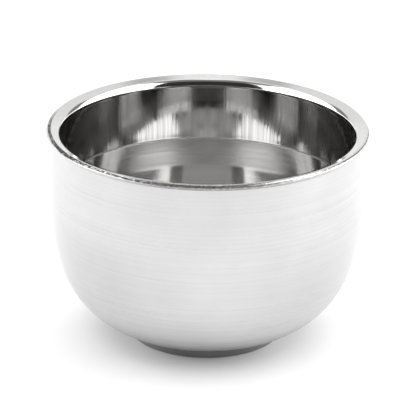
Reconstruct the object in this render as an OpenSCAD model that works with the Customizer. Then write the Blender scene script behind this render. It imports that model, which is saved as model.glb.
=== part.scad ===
// Double-walled shaving bowl in stainless steel: a mug without a handle, for working up lather.
// A mirror-polished inner bowl hangs by its out-turned lip inside a satin outer shell, and a pressed
// cap closes the shell's bottom and forms the foot. Every piece is a solid of revolution about Z.
// The origin is the centre of the foot's flat underside, +Z is up, and lengths are in millimetres.

/* [Lip] */
// Outside diameter of the lip, the widest part of the bowl
lip_d = 96; // [95.8:0.1:96.4]
// Height of the lip's crest above the surface that the bowl stands on
bowl_h = 65; // [63:0.5:68]
// Radius of the lip's rolled outer edge
lip_edge_r = 0.9; // [0.8:0.05:1]
// Length of the lip's straight slope, from the rolled edge in to the knee
lip_slope_l = 1.85; // [1.7:0.05:2]
// Fall of that slope for each millimetre along it
lip_fall = 0.352; // [0.32:0.008:0.4]
// Radius of the knee, where the slope turns down into the flare
lip_knee_r = 2; // [1.8:0.05:2.2]
// Radius of the flare, between the knee and the straight inner wall
lip_flare_r = 4; // [3.5:0.25:4.5]

/* [Inner bowl] */
// Thickness of the inner bowl's sheet
bowl_t = 0.5; // [0.4:0.05:0.6]
// Height at which the straight inner wall starts to curve in
bowl_bend_z = 44; // [42:0.5:46]
// Radius of the inner bowl's upper curve
bowl_upper_r = 62; // [56:1:68]
// Height of the inner bowl's upper curve
bowl_upper_h = 17.36; // [15.36:0.5:19.36]
// Radius of the inner bowl's lower curve, which runs out into the flat floor
bowl_lower_r = 23; // [21:0.5:25]

/* [Outer shell] */
// Outside diameter of the straight wall
shell_d = 94; // [93.4:0.1:94.4]
// Thickness of the shell's sheet
shell_t = 0.5; // [0.4:0.05:0.6]
// Height at which the straight outer wall starts to curve in
shell_bend_z = 44.5; // [43:0.5:46]
// Radius of the belly's upper curve
belly_upper_r = 78; // [74:1:82]
// Height of the belly's upper curve
belly_upper_h = 21.84; // [20.84:0.25:22.84]
// Radius of the belly's lower curve
belly_lower_r = 28.6; // [28:0.1:29.2]

/* [Foot] */
// Diameter at the outside of the foot's round bottom edge
foot_d = 47; // [46:0.1:48]
// How far the foot's wall leans outwards for each millimetre that it rises
foot_slope = 0.75; // [0.6:0.05:0.9]
// Radius of the foot's round bottom edge
foot_edge_r = 0.8; // [0.7:0.05:1]
// Thickness of the cap's sheet
cap_t = 0.5; // [0.4:0.05:0.6]
// Height of the collar that stands up inside the shell's opening
collar_h = 2; // [1.5:0.25:2.5]
// Inside diameter of the flat ring that the bowl stands on
ring_inner_d = 40; // [38:0.5:42]
// Height of the recessed panel inside that ring
panel_z = 1.6; // [1.2:0.1:2]

/* [Welds] */
// Height of the weld in the lip's rolled edge, from the lip's widest point upwards
rim_weld_h = 0.54; // [0.4:0.02:0.6]
// Radius of the fine seam in the foot's crease
foot_bead_r = 0.3; // [0.2:0.05:0.35]

/* [Hidden] */
$fn = 180;
// Overshoot of the cutting shapes past the faces that they cut
eps = 1;
// Flats round the foot's seam, which is too fine to need a true circle
seam_sides = 12;

// Points in the profiles are [distance from the axis, height].
lip_r = lip_d / 2;
shell_r = shell_d / 2;

// Lip, from outside to inside: rolled edge, straight slope, knee, flare and upright wall, each of which
// continues the last one smoothly. The flare leans as far from upright as the slope does from level.
lip_run = sqrt(1 - lip_fall ^ 2);
lip_slope_normal = [-lip_fall, lip_run];
lip_flare_normal = [-lip_run, lip_fall];
lip_slope_angle = atan2(lip_run, -lip_fall);
lip_flare_angle = atan2(lip_fall, -lip_run);
lip_edge_c = [lip_r - lip_edge_r, bowl_h - lip_edge_r];
lip_slope_top = lip_edge_c + lip_edge_r * lip_slope_normal;
lip_slope_low = lip_slope_top - lip_slope_l * [lip_run, lip_fall];
lip_knee_c = lip_slope_low - lip_knee_r * lip_slope_normal;
lip_flare_c = lip_knee_c + (lip_knee_r - lip_flare_r) * lip_flare_normal;
mouth_r = lip_flare_c.x - lip_flare_r;

// Weld: it fills the rolled edge between the shell's turned-out top and the lip
rim_weld_angle = asin(rim_weld_h / lip_edge_r);
shell_top_z = lip_edge_c.y - lip_edge_r + shell_t;

// Belly: the lower curve touches the upper one
belly_c = lower_centre(shell_r, shell_bend_z, belly_upper_r, belly_upper_h, belly_lower_r);

// Foot: its leaning wall leaves the round bottom edge smoothly and rises to the belly at the crease
foot_edge_c = [foot_d / 2 - foot_edge_r, foot_edge_r];
foot_up = [foot_slope, 1] / norm([foot_slope, 1]);
foot_normal = [foot_up.y, -foot_up.x];
foot_wall_end = foot_edge_c + foot_edge_r * foot_normal;
foot_to_belly = belly_c - foot_wall_end;
foot_wall_run = foot_to_belly * foot_up;
foot_wall_l = foot_wall_run
    - sqrt(foot_wall_run ^ 2 - foot_to_belly * foot_to_belly + belly_lower_r ^ 2);
foot_top = foot_wall_end + foot_wall_l * foot_up;
crease_r = foot_top.x;
crease_z = foot_top.y;
ring_inner_r = ring_inner_d / 2;
panel_r = ring_inner_r - panel_z;

// Direction in which a vessel's upper curve of radius upper_r and height upper_h ends
function upper_end(upper_r, upper_h) = [sqrt(1 - (upper_h / upper_r) ^ 2), -upper_h / upper_r];

// Centre of a vessel's lower curve of radius lower_r, which continues its upper curve smoothly
function lower_centre(wall_r, bend_z, upper_r, upper_h, lower_r) =
    [wall_r - upper_r, bend_z] + (upper_r - lower_r) * upper_end(upper_r, upper_h);

// Rectangle from r0 to r1 away from the axis and from z0 up to z1
module band(r0, r1, z0, z1) {
    polygon([[r0, z0], [r1, z0], [r1, z1], [r0, z1]]);
}

// Region inside a vessel from its flat floor up to top_z, grown outwards by grow
module vessel_region(wall_r, bend_z, upper_r, upper_h, lower_r, top_z, grow = 0) {
    lower_c = lower_centre(wall_r, bend_z, upper_r, upper_h, lower_r);
    join_z = bend_z + (upper_r + grow) * upper_end(upper_r, upper_h).y;
    floor_z = lower_c.y - lower_r - grow;
    band(0, wall_r + grow, bend_z, top_z);
    intersection() {
        translate([wall_r - upper_r, bend_z])
            circle(r = upper_r + grow);
        band(0, wall_r + grow, join_z, bend_z);
    }
    intersection() {
        translate(lower_c)
            circle(r = lower_r + grow);
        band(lower_c.x, wall_r + grow, floor_z, join_z);
    }
    band(0, lower_c.x, floor_z, join_z);
}

// Part of a ring about centre, of outer radius r and width t, between the angles from and to
module ring_sector(centre, r, t, from, to) {
    reach = 2 * r;
    translate(centre)
        intersection() {
            difference() {
                circle(r = r);
                circle(r = r - t);
            }
            polygon(concat([[0, 0]], [for (a = [from, (from + to) / 2, to]) reach * [cos(a), sin(a)]]));
        }
}

// Cross-section of the inner bowl with its lip
module inner_bowl_section() {
    under = bowl_t * lip_slope_normal;
    difference() {
        vessel_region(mouth_r, bowl_bend_z, bowl_upper_r, bowl_upper_h, bowl_lower_r,
            lip_flare_c.y, grow = bowl_t);
        vessel_region(mouth_r, bowl_bend_z, bowl_upper_r, bowl_upper_h, bowl_lower_r,
            lip_flare_c.y + eps);
    }
    ring_sector(lip_flare_c, lip_flare_r, bowl_t, lip_flare_angle, 180);
    ring_sector(lip_knee_c, lip_knee_r, bowl_t, lip_slope_angle, lip_flare_angle);
    polygon([lip_slope_top, lip_slope_low, lip_slope_low - under, lip_slope_top - under]);
    ring_sector(lip_edge_c, lip_edge_r, bowl_t, rim_weld_angle, lip_slope_angle);
}

// Cross-section of the outer shell: open at the foot's crease, with its top turned out under the weld
module outer_shell_section() {
    difference() {
        vessel_region(shell_r, shell_bend_z, belly_upper_r, belly_upper_h, belly_lower_r,
            shell_top_z);
        vessel_region(shell_r, shell_bend_z, belly_upper_r, belly_upper_h, belly_lower_r,
            shell_top_z + eps, grow = -shell_t);
        square([crease_r, crease_z + collar_h]);
    }
    band(shell_r, lip_edge_c.x, shell_top_z - shell_t, shell_top_z);
    ring_sector(lip_edge_c, lip_edge_r, shell_t, -90, 0);
}

// Region inside the foot and its collar up to top_z, shrunk by inset all round
module foot_region(inset, top_z) {
    wall_end = foot_wall_end - inset * foot_normal;
    wall_top = foot_top + inset * [-1, (foot_normal.x - 1) / foot_normal.y];
    intersection() {
        translate(foot_edge_c)
            circle(r = foot_edge_r - inset);
        band(foot_edge_c.x, crease_r, inset, wall_end.y);
    }
    polygon([[0, inset], [foot_edge_c.x, inset], [foot_edge_c.x, wall_end.y], wall_end, wall_top,
        [wall_top.x, top_z], [0, top_z]]);
}

// Region of the recess under the cap's panel
module recess_region() {
    polygon([[0, -eps], [ring_inner_r + eps, -eps], [panel_r, panel_z], [0, panel_z]]);
}

// Cross-section of the cap: collar, leaning foot wall, round edge, standing ring and recessed panel
module base_cap_section() {
    collar_top_z = crease_z + collar_h;
    difference() {
        foot_region(0, collar_top_z);
        difference() {
            foot_region(cap_t, collar_top_z + eps);
            translate([0, cap_t])
                recess_region();
        }
        recess_region();
    }
}

// Mirror-polished inner bowl, one sheet from its floor to its lip
module inner_bowl() {
    color("gainsboro")
        rotate_extrude()
            inner_bowl_section();
}

// Satin outer shell
module outer_shell() {
    color("silver")
        rotate_extrude()
            outer_shell_section();
}

// Weld between the lip and the shell's turned-out top
module rim_weld() {
    color("dimgray")
        rotate_extrude()
            ring_sector(lip_edge_c, lip_edge_r, bowl_t, 0, rim_weld_angle);
}

// Pressed cap that closes the shell's bottom and forms the foot
module base_cap() {
    color("darkgray")
        rotate_extrude()
            base_cap_section();
}

// Fine welded seam in the crease between the shell and the foot
module foot_weld() {
    color("gray")
        rotate_extrude()
            difference() {
                translate(foot_top)
                    circle(r = foot_bead_r, $fn = seam_sides);
                vessel_region(shell_r, shell_bend_z, belly_upper_r, belly_upper_h, belly_lower_r,
                    shell_top_z);
                polygon([[0, 0], foot_wall_end, foot_top + foot_bead_r * foot_up, [0, crease_z]]);
            }
}

inner_bowl();
outer_shell();
rim_weld();
base_cap();
foot_weld();
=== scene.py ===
import math

import bpy
from mathutils import Matrix, Vector, noise


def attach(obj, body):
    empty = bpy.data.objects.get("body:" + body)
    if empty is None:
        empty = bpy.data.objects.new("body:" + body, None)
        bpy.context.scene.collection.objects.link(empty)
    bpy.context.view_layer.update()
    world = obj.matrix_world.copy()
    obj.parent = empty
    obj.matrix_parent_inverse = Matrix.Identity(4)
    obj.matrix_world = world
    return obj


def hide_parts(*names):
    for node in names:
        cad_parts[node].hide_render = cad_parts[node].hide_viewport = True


# Double-walled shaving bowl in stainless steel. Lengths below are in millimetres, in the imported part's frame:
# origin at the centre of the foot's underside, +Z up. MM turns them into metres.
MM = 0.001

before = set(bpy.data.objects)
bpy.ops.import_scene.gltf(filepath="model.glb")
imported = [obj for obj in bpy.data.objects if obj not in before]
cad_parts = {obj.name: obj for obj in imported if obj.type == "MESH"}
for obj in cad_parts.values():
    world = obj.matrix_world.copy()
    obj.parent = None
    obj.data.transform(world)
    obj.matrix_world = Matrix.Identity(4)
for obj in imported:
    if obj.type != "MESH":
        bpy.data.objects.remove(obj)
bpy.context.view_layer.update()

# ---------------------------------------------------------------- the bowl's profile, as in the CAD source
BOWL_H = 65.0
LIP_R = 48.0
LIP_EDGE_R = 0.9
LIP_SLOPE_L = 1.85
LIP_FALL = 0.352
LIP_KNEE_R = 2.0
LIP_FLARE_R = 4.0
BOWL_T = 0.5
BOWL_BEND_Z = 44.0
BOWL_UPPER_R = 62.0
BOWL_UPPER_H = 17.36
BOWL_LOWER_R = 23.0
SHELL_R = 47.0
SHELL_T = 0.5
SHELL_BEND_Z = 44.5
BELLY_UPPER_R = 78.0
BELLY_UPPER_H = 21.84
BELLY_LOWER_R = 28.6
FOOT_R = 23.5
FOOT_SLOPE = 0.75
FOOT_EDGE_R = 0.8
CAP_T = 0.5
COLLAR_H = 2.0
RING_INNER_R = 20.0
PANEL_Z = 1.6
RIM_WELD_H = 0.54
FOOT_BEAD_R = 0.3

# ---------------------------------------------------------------- worked out from those sizes
LIP_RUN = math.sqrt(1 - LIP_FALL ** 2)
EDGE_C = Vector((LIP_R - LIP_EDGE_R, BOWL_H - LIP_EDGE_R))
SLOPE_NORMAL = Vector((-LIP_FALL, LIP_RUN))
FLARE_NORMAL = Vector((-LIP_RUN, LIP_FALL))
SLOPE_TOP = EDGE_C + LIP_EDGE_R * SLOPE_NORMAL
SLOPE_LOW = SLOPE_TOP - LIP_SLOPE_L * Vector((LIP_RUN, LIP_FALL))
KNEE_C = SLOPE_LOW - LIP_KNEE_R * SLOPE_NORMAL
FLARE_C = KNEE_C + (LIP_KNEE_R - LIP_FLARE_R) * FLARE_NORMAL
MOUTH_R = FLARE_C.x - LIP_FLARE_R
SLOPE_ANGLE = math.degrees(math.atan2(SLOPE_NORMAL.y, SLOPE_NORMAL.x))
FLARE_ANGLE = math.degrees(math.atan2(FLARE_NORMAL.y, FLARE_NORMAL.x))
WELD_ANGLE = math.degrees(math.asin(RIM_WELD_H / LIP_EDGE_R))
SHELL_TOP_Z = EDGE_C.y - LIP_EDGE_R + SHELL_T

RING_LINE_Z = 44.9  # height of the fine line round the inner wall
RING_LINE_H = 0.03  # how far it stands proud
RING_LINE_HALF = 0.3  # half its width up and down the wall
RING_BRIGHT_Y = 36.0  # distance behind the axis from which that line is fully bright, with no painted shade
RING_FAINT_Y = 20.0  # and the distance up to which it is at its faintest, in its deepest painted shade
RING_FAINT = 0.45  # how bright the painted shade leaves it there
CURVE_SHARP_Z = 35.5  # height below which the inner bowl's curve is polished sharp
BRUSHED_FROM = 32.0  # distances behind the axis between which the brushed band above that height fades in
BRUSHED_FULL = 37.0
SHADE_TOP_Z = 13.0  # height above which the shell is evenly bright, with no painted shade from the foot
# The painted shade along the weld, a dark band, by place across the bowl from its left (0) to its right (1):
# where its middle lies round the lip's rolled edge, in half turns up from level outwards, half its width in the
# same measure, and how strong it is. The values are rounded from readings of the dark line in the photo.
EDGE_SHADE_MIDDLE = [(0.0, 0.53), (0.02, 0.50), (0.055, 0.32), (0.175, 0.25), (0.265, 0.18), (0.363, 0.13),
                 (0.5, 0.05), (0.66, 0.08), (0.78, 0.2), (0.9, 0.27)]
EDGE_SHADE_HALF = [(0.0, 0.18), (0.02, 0.22), (0.055, 0.27), (0.175, 0.13), (0.265, 0.12), (0.363, 0.14),
               (0.5, 0.12), (0.66, 0.09), (0.78, 0.04), (0.9, 0.10), (0.96, 0.05)]
EDGE_SHADE_STRENGTH = [(0.0, 1), (0.3, 1), (0.45, 0.55), (0.66, 0.7), (0.9, 0.9)]
# The darker, duller part of the rolled edge at the front, painted shade that dims its highlight: round the edge
# (0.5 is level outwards, 0.75 upwards), and from the left of the bowl (0) to its right (1)
CREST_SHADE_ROUND = [(0.32, 0), (0.36, 1), (0.74, 1), (0.79, 0)]
CREST_SHADE_ACROSS = [(0.2, 0), (0.36, 0.5), (0.64, 0.5), (0.85, 0.1), (0.95, 0)]

AROUND = 384  # segments of the large lathed pieces
FINE_AROUND = 1536  # segments of the weld, whose edges are uneven


def arc(centre, radius, start, end, steps):
    """Points on a circle from angle start to angle end, in degrees."""
    points = []
    for i in range(steps + 1):
        a = math.radians(start + (end - start) * i / steps)
        points.append((centre[0] + radius * math.cos(a), centre[1] + radius * math.sin(a)))
    return points


def line(start, end, steps):
    """Points from start to end, both included."""
    return [(start[0] + (end[0] - start[0]) * i / steps, start[1] + (end[1] - start[1]) * i / steps)
            for i in range(steps + 1)]


def joined(*runs):
    """One list of points from several, without the point that two runs share."""
    points = list(runs[0])
    for run in runs[1:]:
        same = math.dist(points[-1], run[0]) < 1e-4
        points += run[1:] if same else run
    return points


def vessel(wall_r, bend_z, upper_r, upper_h, lower_r, offset, steps):
    """The centre of a vessel's lower curve, and the points of its lower and its upper curve, from the floor
    up to the bend and moved out by offset."""
    sine = upper_h / upper_r
    cosine = math.sqrt(1 - sine * sine)
    sweep = -math.degrees(math.asin(sine))
    upper_c = (wall_r - upper_r, bend_z)
    lower_c = (upper_c[0] + (upper_r - lower_r) * cosine, upper_c[1] - (upper_r - lower_r) * sine)
    return (lower_c, arc(lower_c, lower_r + offset, -90, sweep, steps),
            arc(upper_c, upper_r + offset, sweep, 0, steps // 2))


def lathe(name, profile, around, offset_at=None):
    """A closed surface of revolution about Z.

    offset_at(point number, angle) is what to add to a point's distance from the axis and to its height.
    """
    vertices, faces, rings = [], [], []
    for i, (r, z) in enumerate(profile):
        if r < 1e-6:
            rings.append([len(vertices)])
            vertices.append((0.0, 0.0, z * MM))
            continue
        ring = []
        for j in range(around):
            a = 2 * math.pi * j / around
            dr, dz = offset_at(i, a) if offset_at else (0.0, 0.0)
            ring.append(len(vertices))
            vertices.append(((r + dr) * math.cos(a) * MM, (r + dr) * math.sin(a) * MM, (z + dz) * MM))
        rings.append(ring)
    closed = profile[0][0] > 1e-6  # a ring, whose profile doesn't touch the axis
    pairs = list(zip(rings, rings[1:])) + ([(rings[-1], rings[0])] if closed else [])
    for low, high in pairs:
        for j in range(around):
            k = (j + 1) % around
            if len(low) == 1:
                faces.append((low[0], high[k], high[j]))
            elif len(high) == 1:
                faces.append((low[j], low[k], high[0]))
            else:
                faces.append((low[j], low[k], high[k], high[j]))
    mesh = bpy.data.meshes.new(name)
    mesh.from_pydata(vertices, [], faces)
    mesh.validate()
    mesh.update()
    mesh.polygons.foreach_set("use_smooth", [True] * len(mesh.polygons))
    mesh.set_sharp_from_angle(angle=math.radians(40))
    piece = bpy.data.objects.new(name, mesh)
    bpy.context.scene.collection.objects.link(piece)
    return piece


# ---------------------------------------------------------------- node helpers
def material(name):
    """A new material, its node tree and its shader."""
    made = bpy.data.materials.new(name)
    made.use_nodes = True
    tree = made.node_tree
    shader = tree.nodes["Principled BSDF"]
    return made, tree, shader


def metal(name):
    """A new metallic material, its node tree and its shader."""
    made, tree, shader = material(name)
    shader.inputs["Metallic"].default_value = 1.0
    return made, tree, shader


def node(tree, kind, **settings):
    """A new node, with each setting put on the input or else the property of that name."""
    made = tree.nodes.new(kind)
    for key, value in settings.items():
        if key in made.inputs:
            made.inputs[key].default_value = value
        else:
            setattr(made, key, value)
    return made


def feed(tree, value, socket):
    """Gives an input its value, which is either another node's output or a constant."""
    if isinstance(value, bpy.types.NodeSocket):
        tree.links.new(value, socket)
    else:
        socket.default_value = value


def ramp(tree, source, stops):
    """Maps a value through grey stops [(position, value), ...]."""
    made = tree.nodes.new("ShaderNodeValToRGB")
    elements = made.color_ramp.elements
    while len(elements) < len(stops):
        elements.new(0.5)
    for element, (position, value) in zip(elements, stops):
        element.position = position
        element.color = (value, value, value, 1)
    tree.links.new(source, made.inputs["Fac"])
    return made.outputs["Color"]


def coordinates(tree):
    """The shaded point's object coordinates in metres, together, and X, Y and Z apart."""
    place = tree.nodes.new("ShaderNodeTexCoord").outputs["Object"]
    split = tree.nodes.new("ShaderNodeSeparateXYZ")
    tree.links.new(place, split.inputs[0])
    return place, split.outputs


def scaled(tree, place, scale):
    """Coordinates stretched by scale."""
    made = node(tree, "ShaderNodeMapping", Scale=scale)
    tree.links.new(place, made.inputs["Vector"])
    return made.outputs["Vector"]


def noise_at(tree, place, **settings):
    """The value of a noise texture at those coordinates."""
    made = node(tree, "ShaderNodeTexNoise", **settings)
    tree.links.new(place, made.inputs["Vector"])
    return made.outputs["Fac"]


def span(tree, source, low, high, least=0.0):
    """Maps a length evenly: least up to low and 1 from high on, both in millimetres."""
    made = node(tree, "ShaderNodeMapRange")
    made.inputs["From Min"].default_value = low * MM
    made.inputs["From Max"].default_value = high * MM
    made.inputs["To Min"].default_value = least
    tree.links.new(source, made.inputs["Value"])
    return made.outputs["Result"]


def mix(tree, factor, first, second, blend_type="MIX"):
    """The mix of two colours by a factor; each of the three is an output or a constant."""
    made = node(tree, "ShaderNodeMixRGB", blend_type=blend_type)
    for name, value in (("Fac", factor), ("Color1", first), ("Color2", second)):
        feed(tree, value, made.inputs[name])
    return made.outputs["Color"]


def math_node(tree, operation, first, second):
    """The result of one operation on two values, each of them an output or a number."""
    made = node(tree, "ShaderNodeMath", operation=operation)
    feed(tree, first, made.inputs[0])
    feed(tree, second, made.inputs[1])
    return made.outputs[0]


def product(tree, first, second):
    """One value times another."""
    return math_node(tree, "MULTIPLY", first, second)


def bumped(tree, shader, height, strength, distance):
    """Gives the shader a bump from height, whose full depth is distance in metres."""
    bump = node(tree, "ShaderNodeBump", Strength=strength, Distance=distance)
    tree.links.new(height, bump.inputs["Height"])
    tree.links.new(bump.outputs["Normal"], shader.inputs["Normal"])


# ---------------------------------------------------------------- materials
def mirror_wall():
    """Polished steel with fine upright polishing streaks: the straight inner wall."""
    made, tree, shader = metal("polished_wall")
    place, _ = coordinates(tree)
    streaks = noise_at(tree, scaled(tree, place, (1100, 1100, 14)), Scale=1.0, Detail=3.0, Roughness=0.6)
    fine = ramp(tree, streaks, [(0.38, 0), (0.62, 1)])
    wide = noise_at(tree, scaled(tree, place, (160, 160, 8)), Scale=1.0, Detail=2.0)
    dull = mix(tree, wide, (0.43, 0.427, 0.423, 1), (0.50, 0.496, 0.49, 1))
    tint = mix(tree, fine, dull, (0.55, 0.546, 0.54, 1))
    tree.links.new(tint, shader.inputs["Base Color"])
    tree.links.new(ramp(tree, fine, [(0.0, 0.12), (1.0, 0.05)]), shader.inputs["Roughness"])
    bumped(tree, shader, streaks, 0.5, 0.00004)
    return made


def edge_shade(tree, place, split):
    """Strength of the painted shade, in dark specks: a band along the front of the lip's edge, over its top at
    the left, and a darker, duller patch over the front of the edge.
    """
    flat = tree.nodes.new("ShaderNodeCombineXYZ")
    tree.links.new(split["X"], flat.inputs["X"])
    tree.links.new(split["Y"], flat.inputs["Y"])
    distance = node(tree, "ShaderNodeVectorMath", operation="LENGTH")
    tree.links.new(flat.outputs[0], distance.inputs[0])
    out = math_node(tree, "SUBTRACT", distance.outputs["Value"], EDGE_C.x * MM)
    up = math_node(tree, "SUBTRACT", split["Z"], EDGE_C.y * MM)
    turned = math_node(tree, "DIVIDE", math_node(tree, "ARCTAN2", up, out), math.pi)
    across = span(tree, split["X"], -LIP_R, LIP_R)
    lengthways = span(tree, split["Y"], -LIP_R, LIP_R)
    front = ramp(tree, lengthways, [(0.0, 1), (0.5, 1), (0.66, 0)])
    specks = noise_at(tree, place, Scale=1500.0, Detail=4.0, Roughness=0.7)
    speckled = ramp(tree, specks, [(0.40, 0.35), (0.50, 1)])

    middle = ramp(tree, across, EDGE_SHADE_MIDDLE)
    half = ramp(tree, across, EDGE_SHADE_HALF)
    off = math_node(tree, "ABSOLUTE", math_node(tree, "SUBTRACT", turned, middle), 0.0)
    inside = ramp(tree, math_node(tree, "DIVIDE", off, half), [(0.0, 1), (0.75, 1), (1.0, 0)])
    spotted = product(tree, product(tree, inside, front), speckled)
    band = product(tree, spotted, ramp(tree, across, EDGE_SHADE_STRENGTH))

    # A patch of painted shade over the front of the rolled edge, which dims its highlight
    round_edge = product(tree, math_node(tree, "ADD", turned, 1.0), 0.5)
    patch = product(tree, ramp(tree, round_edge, CREST_SHADE_ROUND), ramp(tree, across, CREST_SHADE_ACROSS))
    crest_shade = product(tree, patch, product(tree, front, speckled))
    return math_node(tree, "MAXIMUM", band, crest_shade)


def with_edge_shade(tree, place, split, shader, colour, roughness):
    """Links colour and roughness to the shader, darkened by the painted shade along the lip's edge and dulled
    there.
    """
    band = edge_shade(tree, place, split)
    # Where the painted shade lies, the colour goes towards near black and the steel gets rougher
    tree.links.new(mix(tree, band, colour, (0.03, 0.029, 0.028, 1)), shader.inputs["Base Color"])
    tree.links.new(mix(tree, band, roughness, (0.4, 0.4, 0.4, 1)), shader.inputs["Roughness"])


def lip_steel():
    """Polished steel with a fine grain: the lip."""
    made, tree, shader = metal("lip_steel")
    place, split = coordinates(tree)
    grain = noise_at(tree, place, Scale=700.0, Detail=3.0, Roughness=0.6)
    tint = mix(tree, grain, (0.76, 0.756, 0.75, 1), (0.86, 0.855, 0.85, 1))
    roughness = ramp(tree, grain, [(0.3, 0.06), (0.7, 0.10)])
    with_edge_shade(tree, place, split, shader, tint, roughness)
    bumped(tree, shader, grain, 0.2, 0.00001)
    return made


def polished_curve():
    """Polished steel with fine level turning lines, dull at the upper back: the inner bowl's curve."""
    made, tree, shader = metal("polished_curve")
    place, split = coordinates(tree)
    lines = noise_at(tree, scaled(tree, place, (14, 14, 1500)), Scale=1.0, Detail=4.0, Roughness=0.6)
    height = span(tree, split["Z"], CURVE_SHARP_Z, RING_LINE_Z)
    behind = span(tree, split["Y"], BRUSHED_FROM, BRUSHED_FULL)
    brushed = product(tree, ramp(tree, height, [(0.0, 0), (0.15, 1), (1.0, 1)]), behind)
    dull = ramp(tree, lines, [(0.3, 0.18), (0.7, 0.27)])
    tree.links.new(mix(tree, brushed, (0.07, 0.07, 0.07, 1), dull), shader.inputs["Roughness"])
    tint = mix(tree, lines, (0.45, 0.447, 0.443, 1), (0.58, 0.576, 0.57, 1))
    tree.links.new(tint, shader.inputs["Base Color"])
    bumped(tree, shader, lines, 0.2, 0.00002)
    return made


def ring_steel():
    """Brighter, slightly dull steel, with painted shade over its front and sides: the fine line round the inner
    wall.
    """
    made, tree, shader = metal("ring_steel")
    place, split = coordinates(tree)
    grain = noise_at(tree, place, Scale=500.0, Detail=3.0)
    tint = mix(tree, grain, (0.66, 0.655, 0.65, 1), (0.80, 0.795, 0.79, 1))
    # Painted shade: the line's colour darkens away from the back, so only its back part shows bright
    behind = span(tree, split["Y"], RING_FAINT_Y, RING_BRIGHT_Y, RING_FAINT)
    tree.links.new(mix(tree, 1.0, tint, behind, "MULTIPLY"), shader.inputs["Base Color"])
    tree.links.new(ramp(tree, grain, [(0.3, 0.34), (0.7, 0.44)]), shader.inputs["Roughness"])
    return made


def satin(name, dark, light, foot_shade=1.0):
    """Satin steel with very fine level brushing and faint blotches, darker by foot_shade next to the foot:
    painted shade.
    """
    made, tree, shader = metal(name)
    place, split = coordinates(tree)
    lines = noise_at(tree, scaled(tree, place, (3, 3, 1500)), Scale=1.0, Detail=5.0, Roughness=0.65)
    blotches = noise_at(tree, place, Scale=70.0, Detail=4.0, Roughness=0.6)
    pattern = ramp(tree, mix(tree, 0.35, lines, blotches), [(0.3, 0), (0.7, 1)])
    tint = mix(tree, pattern, (dark, dark, dark, 1), (light, light, light, 1))
    # Painted shade next to the foot, fading out up to SHADE_TOP_Z
    height = span(tree, split["Z"], crease[1], SHADE_TOP_Z)
    shading = ramp(tree, height, [(0.0, foot_shade), (0.25, 0.6 * foot_shade + 0.4),
                                  (0.6, 0.2 * foot_shade + 0.8), (1.0, 1)])
    roughness = ramp(tree, lines, [(0.3, 0.26), (0.7, 0.34)])
    with_edge_shade(tree, place, split, shader, mix(tree, 1.0, tint, shading, "MULTIPLY"), roughness)
    bumped(tree, shader, lines, 0.08, 0.00002)
    return made


def weld(name, dark, light):
    """Grainy unpolished weld metal."""
    made, tree, shader = metal(name)
    place, split = coordinates(tree)
    grain = noise_at(tree, place, Scale=900.0, Detail=4.0, Roughness=0.7)
    pattern = ramp(tree, grain, [(0.35, 0.0), (0.65, 1.0)])
    tint = mix(tree, pattern, (dark, dark, dark, 1), (light, light, light, 1))
    roughness = ramp(tree, grain, [(0.3, 0.35), (0.7, 0.55)])
    with_edge_shade(tree, place, split, shader, tint, roughness)
    bumped(tree, shader, grain, 0.4, 0.00003)
    return made


# ---------------------------------------------------------------- pieces
def ring_line(steps):
    """The fine raised line round the inside, where the straight wall starts to curve in."""
    points = []
    for i in range(steps + 1):
        t = -1 + 2 * i / steps
        proud = RING_LINE_H * math.cos(t * math.pi / 2) ** 2
        points.append((MOUTH_R - proud, RING_LINE_Z + t * RING_LINE_HALF))
    return points


BOWL_SIDE = (MOUTH_R, BOWL_BEND_Z, BOWL_UPPER_R, BOWL_UPPER_H, BOWL_LOWER_R)
SHELL_SIDE = (SHELL_R, SHELL_BEND_Z, BELLY_UPPER_R, BELLY_UPPER_H, BELLY_LOWER_R)

lower_c, low_in, up_in = vessel(*BOWL_SIDE, 0, 90)
_, low_out, up_out = vessel(*BOWL_SIDE, BOWL_T, 60)
under = BOWL_T * SLOPE_NORMAL
liner_profile = joined(
    line((0, lower_c[1] - BOWL_LOWER_R), (lower_c[0], lower_c[1] - BOWL_LOWER_R), 12),
    low_in, up_in,
    ring_line(16),
    line((MOUTH_R, RING_LINE_Z + RING_LINE_HALF), (MOUTH_R, FLARE_C.y), 24),
    arc(FLARE_C, LIP_FLARE_R, 180, FLARE_ANGLE, 20),
    arc(KNEE_C, LIP_KNEE_R, FLARE_ANGLE, SLOPE_ANGLE, 20),
    line(SLOPE_LOW, SLOPE_TOP, 10),
    arc(EDGE_C, LIP_EDGE_R, SLOPE_ANGLE, WELD_ANGLE, 20),
    arc(EDGE_C, LIP_EDGE_R - BOWL_T, WELD_ANGLE, SLOPE_ANGLE, 8),
    line(SLOPE_TOP - under, SLOPE_LOW - under, 2),
    arc(KNEE_C, LIP_KNEE_R - BOWL_T, SLOPE_ANGLE, FLARE_ANGLE, 8),
    arc(FLARE_C, LIP_FLARE_R - BOWL_T, FLARE_ANGLE, 180, 8),
    line((MOUTH_R + BOWL_T, FLARE_C.y), (MOUTH_R + BOWL_T, BOWL_BEND_Z), 4),
    up_out[::-1], low_out[::-1],
    line((lower_c[0], lower_c[1] - BOWL_LOWER_R - BOWL_T), (0, lower_c[1] - BOWL_LOWER_R - BOWL_T), 4),
)
liner = lathe("liner", liner_profile, AROUND)
WALL, CURVE, LIP, RING = range(4)  # the liner's materials, in this order
for steel in (mirror_wall(), polished_curve(), lip_steel(), ring_steel()):
    liner.data.materials.append(steel)
for face in liner.data.polygons:
    if abs(face.center.z - RING_LINE_Z * MM) < RING_LINE_HALF * MM and face.center.xy.length < MOUTH_R * MM:
        face.material_index = RING
    elif face.center.z < RING_LINE_Z * MM:
        face.material_index = CURVE
    elif face.center.z > FLARE_C.y * MM:
        face.material_index = LIP
    else:
        face.material_index = WALL

shell_c, shell_low, shell_up = vessel(*SHELL_SIDE, 0, 90)

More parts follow.
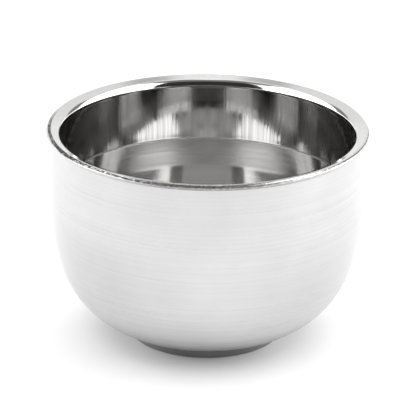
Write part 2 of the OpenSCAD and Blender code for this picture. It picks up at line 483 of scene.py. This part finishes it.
# The foot's leaning wall leaves its round bottom edge smoothly and rises to the belly at the crease
foot_c = (FOOT_R - FOOT_EDGE_R, FOOT_EDGE_R)
lean = math.hypot(FOOT_SLOPE, 1)
foot_up = (FOOT_SLOPE / lean, 1 / lean)
foot_wall_end = (foot_c[0] + FOOT_EDGE_R * foot_up[1], foot_c[1] - FOOT_EDGE_R * foot_up[0])
to_belly = (shell_c[0] - foot_wall_end[0], shell_c[1] - foot_wall_end[1])
# How far up that wall lies the point nearest to the belly's centre, and how far up the wall meets the belly
run = to_belly[0] * foot_up[0] + to_belly[1] * foot_up[1]
length = run - math.sqrt(run * run - to_belly[0] ** 2 - to_belly[1] ** 2 + BELLY_LOWER_R ** 2)
crease = (foot_wall_end[0] + length * foot_up[0], foot_wall_end[1] + length * foot_up[1])
_, shell_low_in, shell_up_in = vessel(*SHELL_SIDE, -SHELL_T, 60)
outer_low = [crease] + [p for p in shell_low if p[0] > crease[0] and p[1] >= crease[1]]
inner_low = [p for p in shell_low_in if p[0] > crease[0]]
shell_profile = joined(
    outer_low, shell_up,
    line((SHELL_R, SHELL_BEND_Z), (SHELL_R, SHELL_TOP_Z - SHELL_T), 8),
    [(EDGE_C.x, SHELL_TOP_Z - SHELL_T)],
    arc(EDGE_C, LIP_EDGE_R, -90, 0, 20),
    arc(EDGE_C, LIP_EDGE_R - SHELL_T, 0, -90, 8),
    [(SHELL_R - SHELL_T, SHELL_TOP_Z)],
    line((SHELL_R - SHELL_T, SHELL_TOP_Z), (SHELL_R - SHELL_T, SHELL_BEND_Z), 2),
    shell_up_in[::-1], inner_low[::-1],
    [(crease[0], inner_low[0][1])],
)
shell = lathe("shell", shell_profile, AROUND)
shell.data.materials.append(satin("satin_shell", dark=0.56, light=0.66, foot_shade=0.25))

edge_angle = -math.degrees(math.atan2(foot_up[0], foot_up[1]))
panel_r = RING_INNER_R - PANEL_Z
foot_profile = joined(
    line((0, PANEL_Z), (panel_r, PANEL_Z), 8),
    line((panel_r, PANEL_Z), (RING_INNER_R, 0), 3),
    line((RING_INNER_R, 0), (foot_c[0], 0), 3),
    arc(foot_c, FOOT_EDGE_R, -90, edge_angle, 14),
    line(foot_wall_end, crease, 6),
    line(crease, (crease[0], crease[1] + COLLAR_H), 2),
    [(crease[0] - CAP_T, crease[1] + COLLAR_H)],
    [(crease[0] - CAP_T, crease[1] + CAP_T / 3)],
    [(foot_wall_end[0] - CAP_T * foot_up[1], foot_wall_end[1] + CAP_T * foot_up[0])],
    arc(foot_c, FOOT_EDGE_R - CAP_T, edge_angle, -90, 6),
    [(RING_INNER_R, CAP_T)],
    [(panel_r, PANEL_Z + CAP_T)],
    [(0, PANEL_Z + CAP_T)],
)
foot = lathe("foot", foot_profile, AROUND)
# The foot's steel is given a far darker grey than the shell's: painted shade under the belly
foot.data.materials.append(satin("foot_steel", dark=0.22, light=0.29))

WELD_POINTS = 12  # points across the weld's outer face
WELD_PROUD = 0.02  # how far the weld's middle stands proud, on average
WELD_TUCK = 0.02  # how far its two edges lie under the sheets
WELD_RIPPLE = 0.03  # how far it ripples in and out
WELD_WAVE = 9  # degrees by which its edges wander in long waves
WELD_JAG = 11  # and in short ones
WELD_OVERLAP = 5  # degrees by which the weld laps over the sheets above and below it


def weld_point(i, a):
    """Uneven edges and ripples of the weld, at point i of its profile and at angle a round the bowl."""
    if i > WELD_POINTS:
        return 0.0, 0.0
    where = Vector((math.cos(a) * LIP_R, math.sin(a) * LIP_R, 0))
    spread = WELD_WAVE * noise.noise(where * 0.9) + WELD_JAG * noise.noise(where * 2.6 + Vector((3, 7, 1)))
    t = i / WELD_POINTS
    angle = math.radians(-WELD_OVERLAP + t * (WELD_ANGLE + 2 * WELD_OVERLAP))
    moved = angle + math.radians(spread) * (2 * t - 1)
    ripple = WELD_RIPPLE * noise.noise(where * 3.1 + Vector((9, 2, 5 + 4 * t)))
    radius = LIP_EDGE_R + (WELD_PROUD + ripple) * math.sin(t * math.pi) - WELD_TUCK * (t in (0, 1))
    return (radius * math.cos(moved) - LIP_EDGE_R * math.cos(angle),
            radius * math.sin(moved) - LIP_EDGE_R * math.sin(angle))


weld_profile = joined(
    arc(EDGE_C, LIP_EDGE_R, -WELD_OVERLAP, WELD_ANGLE + WELD_OVERLAP, WELD_POINTS),
    arc(EDGE_C, LIP_EDGE_R - BOWL_T, WELD_ANGLE, 0, 4),
)
bead = lathe("rim_seam", weld_profile, FINE_AROUND, weld_point)
bead.data.materials.append(weld("rim_weld_metal", dark=0.40, light=0.75))

seam = lathe("foot_seam", arc(crease, FOOT_BEAD_R, 0, 330, 11), AROUND)
# The seam's weld metal is given a far darker grey than the rim weld's: painted shade in the crease between foot
# and belly
seam.data.materials.append(weld("foot_seam_metal", dark=0.12, light=0.35))

for piece, cad_node, slot in (
    (liner, "inner_bowl", "polished_steel"),
    (shell, "outer_shell", "satin_steel"),
    (foot, "base_cap", "foot_steel"),
    (bead, "rim_weld", "weld_metal"),
    (seam, "foot_weld", "seam_metal"),
):
    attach(piece, "root")
    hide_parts(cad_node)


# ---------------------------------------------------------------- stage
def direction(azimuth, elevation, distance):
    """A point at that azimuth (0 is the camera's side, 90 the right) and elevation, in millimetres."""
    a, e = math.radians(azimuth), math.radians(elevation)
    return Vector((math.sin(a) * math.cos(e), -math.cos(a) * math.cos(e), math.sin(e))) * distance


MOUTH_CENTRE = Vector((0, 0, 50))  # what the studio is set up round


def softbox(name, azimuth, elevation, distance, width, height, radiance):
    """A rectangular area light of even radiance that faces the bowl's mouth and never shows in the steel."""
    data = bpy.data.lights.new(name, "AREA")
    data.shape = "RECTANGLE"
    data.size = width * MM
    data.size_y = height * MM
    data.energy = radiance * math.pi * data.size * data.size_y
    light = bpy.data.objects.new(name, data)
    place = direction(azimuth, elevation, distance)
    light.location = (place + MOUTH_CENTRE) * MM
    light.rotation_mode = "QUATERNION"
    light.rotation_quaternion = (-place).to_track_quat("-Z", "Y")
    bpy.context.scene.collection.objects.link(light)
    light.visible_camera = False
    light.visible_glossy = False


def rise(value, edge, soft):
    """0 below edge, 1 above it, with a smooth change of that width between."""
    t = min(1.0, max(0.0, (value - edge) / soft + 0.5))
    return t * t * (3 - 2 * t)


def between(value, low, high, soft=3.0):
    """1 from low to high and 0 outside them, with smooth changes of that width."""
    return rise(value, low, soft) * (1 - rise(value, high, soft))


# What the steel reflects, by azimuth and elevation in degrees: a pale room, a softbox on each side with a
# dark gap behind it, and the dark side of the room where the camera is. It is shaped for the camera's view,
# and only reflections show it.
ROOM = 0.85
BACK_WALL = 0.95
BACK_CEILING = 1.1
CEILING = 0.20
PATCH_LOSS = 0.4  # how much darker the patches high at the back are, as a part of the level there
GAP = 0.25
FRONT_DARK = 0.035
FRONT_EDGE = 45  # azimuth at which the dark side of the room ends
BOX = 3.4
BOXES = (  # side (-1 left), azimuth and elevation of the top edge's middle, azimuth of the far edge
    (-1, 110, 62, 119),
    (1, 102, 65, 119),
)


def studio_radiance(azimuth, elevation):
    """Brightness of the studio in that direction."""
    turn = abs(azimuth)
    back_wall = between(turn, 155, 205) * (1 - rise(elevation, 22, 12))
    level = ROOM + (BACK_WALL - ROOM) * back_wall
    level += (BACK_CEILING - level) * rise(elevation, 58, 16)
    front_ceiling = (1 - rise(turn, 128, 90)) * rise(elevation, 60, 4) * (1 - rise(elevation, 86, 8))
    level += (CEILING - level) * front_ceiling
    back_patches = between(turn, 157, 171, 5) * between(elevation, 51, 62, 5)
    level *= 1 - PATCH_LOSS * back_patches
    gaps = between(turn, 119, 140, 5) * between(elevation, -20, 36, 6)
    level += (GAP - level) * gaps
    front = (1 - rise(turn, FRONT_EDGE, 3)) * (1 - rise(elevation, 60, 10))
    level += (FRONT_DARK - level) * front
    for side, middle, top, far in BOXES:
        turned = side * azimuth
        slant = math.cos(math.radians(turned - middle))
        reach = math.degrees(math.atan(math.tan(math.radians(top)) * max(slant, 0)))
        level += (BOX - level) * between(turned, FRONT_EDGE, far, 3) * (1 - rise(elevation, reach, 3))
    return level


DOME_R = 1100
DOME_AROUND, DOME_UP = 180, 50  # its faces round and up
DOME_LOW, DOME_SPAN = -8, 97.9  # elevation of its lower edge, and how much higher its upper edge is
dome_vertices, dome_faces, dome_levels = [], [], []
for i in range(DOME_UP + 1):
    elevation = DOME_LOW + DOME_SPAN * i / DOME_UP
    for j in range(DOME_AROUND):
        azimuth = 360 * j / DOME_AROUND - 180
        dome_vertices.append((direction(azimuth, elevation, DOME_R) + MOUTH_CENTRE) * MM)
        dome_levels.append(studio_radiance(azimuth, elevation))
for i in range(DOME_UP):
    for j in range(DOME_AROUND):
        k = (j + 1) % DOME_AROUND
        dome_faces.append((i * DOME_AROUND + j, i * DOME_AROUND + k,
                           (i + 1) * DOME_AROUND + k, (i + 1) * DOME_AROUND + j))
dome_mesh = bpy.data.meshes.new("studio_dome")
dome_mesh.from_pydata(dome_vertices, [], dome_faces)
glow_colours = dome_mesh.color_attributes.new("glow", "FLOAT_COLOR", "POINT")
for item, level in zip(glow_colours.data, dome_levels):
    item.color = (level, level, level, 1)
dome = bpy.data.objects.new("studio_dome", dome_mesh)
bpy.context.scene.collection.objects.link(dome)
dome_material = bpy.data.materials.new("studio_dome")
dome_material.use_nodes = True
dome_tree = dome_material.node_tree
dome_tree.nodes.clear()
glow = dome_tree.nodes.new("ShaderNodeEmission")
glow_colour = node(dome_tree, "ShaderNodeAttribute", attribute_name="glow")
dome_out = dome_tree.nodes.new("ShaderNodeOutputMaterial")
dome_tree.links.new(glow_colour.outputs["Color"], glow.inputs["Color"])
dome_tree.links.new(glow.outputs[0], dome_out.inputs["Surface"])
dome_mesh.materials.append(dome_material)
dome.visible_camera = False
dome.visible_diffuse = False
dome.visible_shadow = False

FLOOR = 30000  # half the floor's width
FLOOR_GREY = 0.92
FLOOR_ROUGHNESS = 0.9
floor_corners = [(x * FLOOR * MM, y * FLOOR * MM, 0) for x, y in ((-1, -1), (1, -1), (1, 1), (-1, 1))]
floor_mesh = bpy.data.meshes.new("floor")
floor_mesh.from_pydata(floor_corners, [], [(0, 1, 2, 3)])
floor = bpy.data.objects.new("floor", floor_mesh)
bpy.context.scene.collection.objects.link(floor)
floor_material, _, floor_shader = material("floor")
floor_shader.inputs["Base Color"].default_value = (FLOOR_GREY, FLOOR_GREY, FLOOR_GREY, 1)
floor_shader.inputs["Roughness"].default_value = FLOOR_ROUGHNESS
floor_shader.inputs["Specular IOR Level"].default_value = 0.0
floor_mesh.materials.append(floor_material)

softbox("softbox_left", -110, 14, distance=1200, width=1700, height=560, radiance=4.2)
softbox("softbox_right", 114, 14, distance=1200, width=1700, height=560, radiance=6.4)
softbox("softbox_top", 0, 80, distance=1300, width=1100, height=1100, radiance=0.3)

WORLD_STRENGTH = 1.0
world = bpy.data.worlds.new("studio")
world.use_nodes = True
bpy.context.scene.world = world
background = world.node_tree.nodes["Background"]
background.inputs["Color"].default_value = (1, 1, 1, 1)
background.inputs["Strength"].default_value = WORLD_STRENGTH

# ---------------------------------------------------------------- camera
# Angles are in degrees, and the aim is measured from the bowl's middle: up, and to the left.
CAMERA_ELEVATION = 22.41
CAMERA_DISTANCE = 863.6
CAMERA_LENS = 247.98
SENSOR = 36.0
CLIP_NEAR = 50
CLIP_FAR = 20000
AIM_UP = 0.3949
AIM_LEFT = -0.0326
ROLL = -0.79

target = Vector((0, 0, BOWL_H / 2))
camera_place = target + direction(0, CAMERA_ELEVATION, CAMERA_DISTANCE)
forward = (target - camera_place).normalized()
right = Vector((1, 0, 0))
up = right.cross(forward)
turn = Matrix.Rotation(math.radians(ROLL), 3, forward)
right, up = turn @ right, turn @ up
turn = Matrix.Rotation(math.radians(AIM_UP), 3, right)
forward, up = turn @ forward, turn @ up
turn = Matrix.Rotation(math.radians(AIM_LEFT), 3, up)
forward, right = turn @ forward, turn @ right
camera_data = bpy.data.cameras.new("camera")
camera_data.lens = CAMERA_LENS
camera_data.sensor_width = SENSOR
camera_data.clip_start = CLIP_NEAR * MM
camera_data.clip_end = CLIP_FAR * MM
camera = bpy.data.objects.new("camera", camera_data)
camera.matrix_world = Matrix((
    (right.x, up.x, -forward.x, camera_place.x * MM),
    (right.y, up.y, -forward.y, camera_place.y * MM),
    (right.z, up.z, -forward.z, camera_place.z * MM),
    (0, 0, 0, 1),
))
bpy.context.scene.collection.objects.link(camera)
bpy.context.scene.camera = camera

scene = bpy.context.scene
scene.view_settings.view_transform = "Standard"
scene.cycles.glossy_bounces = 12
scene.cycles.max_bounces = 16
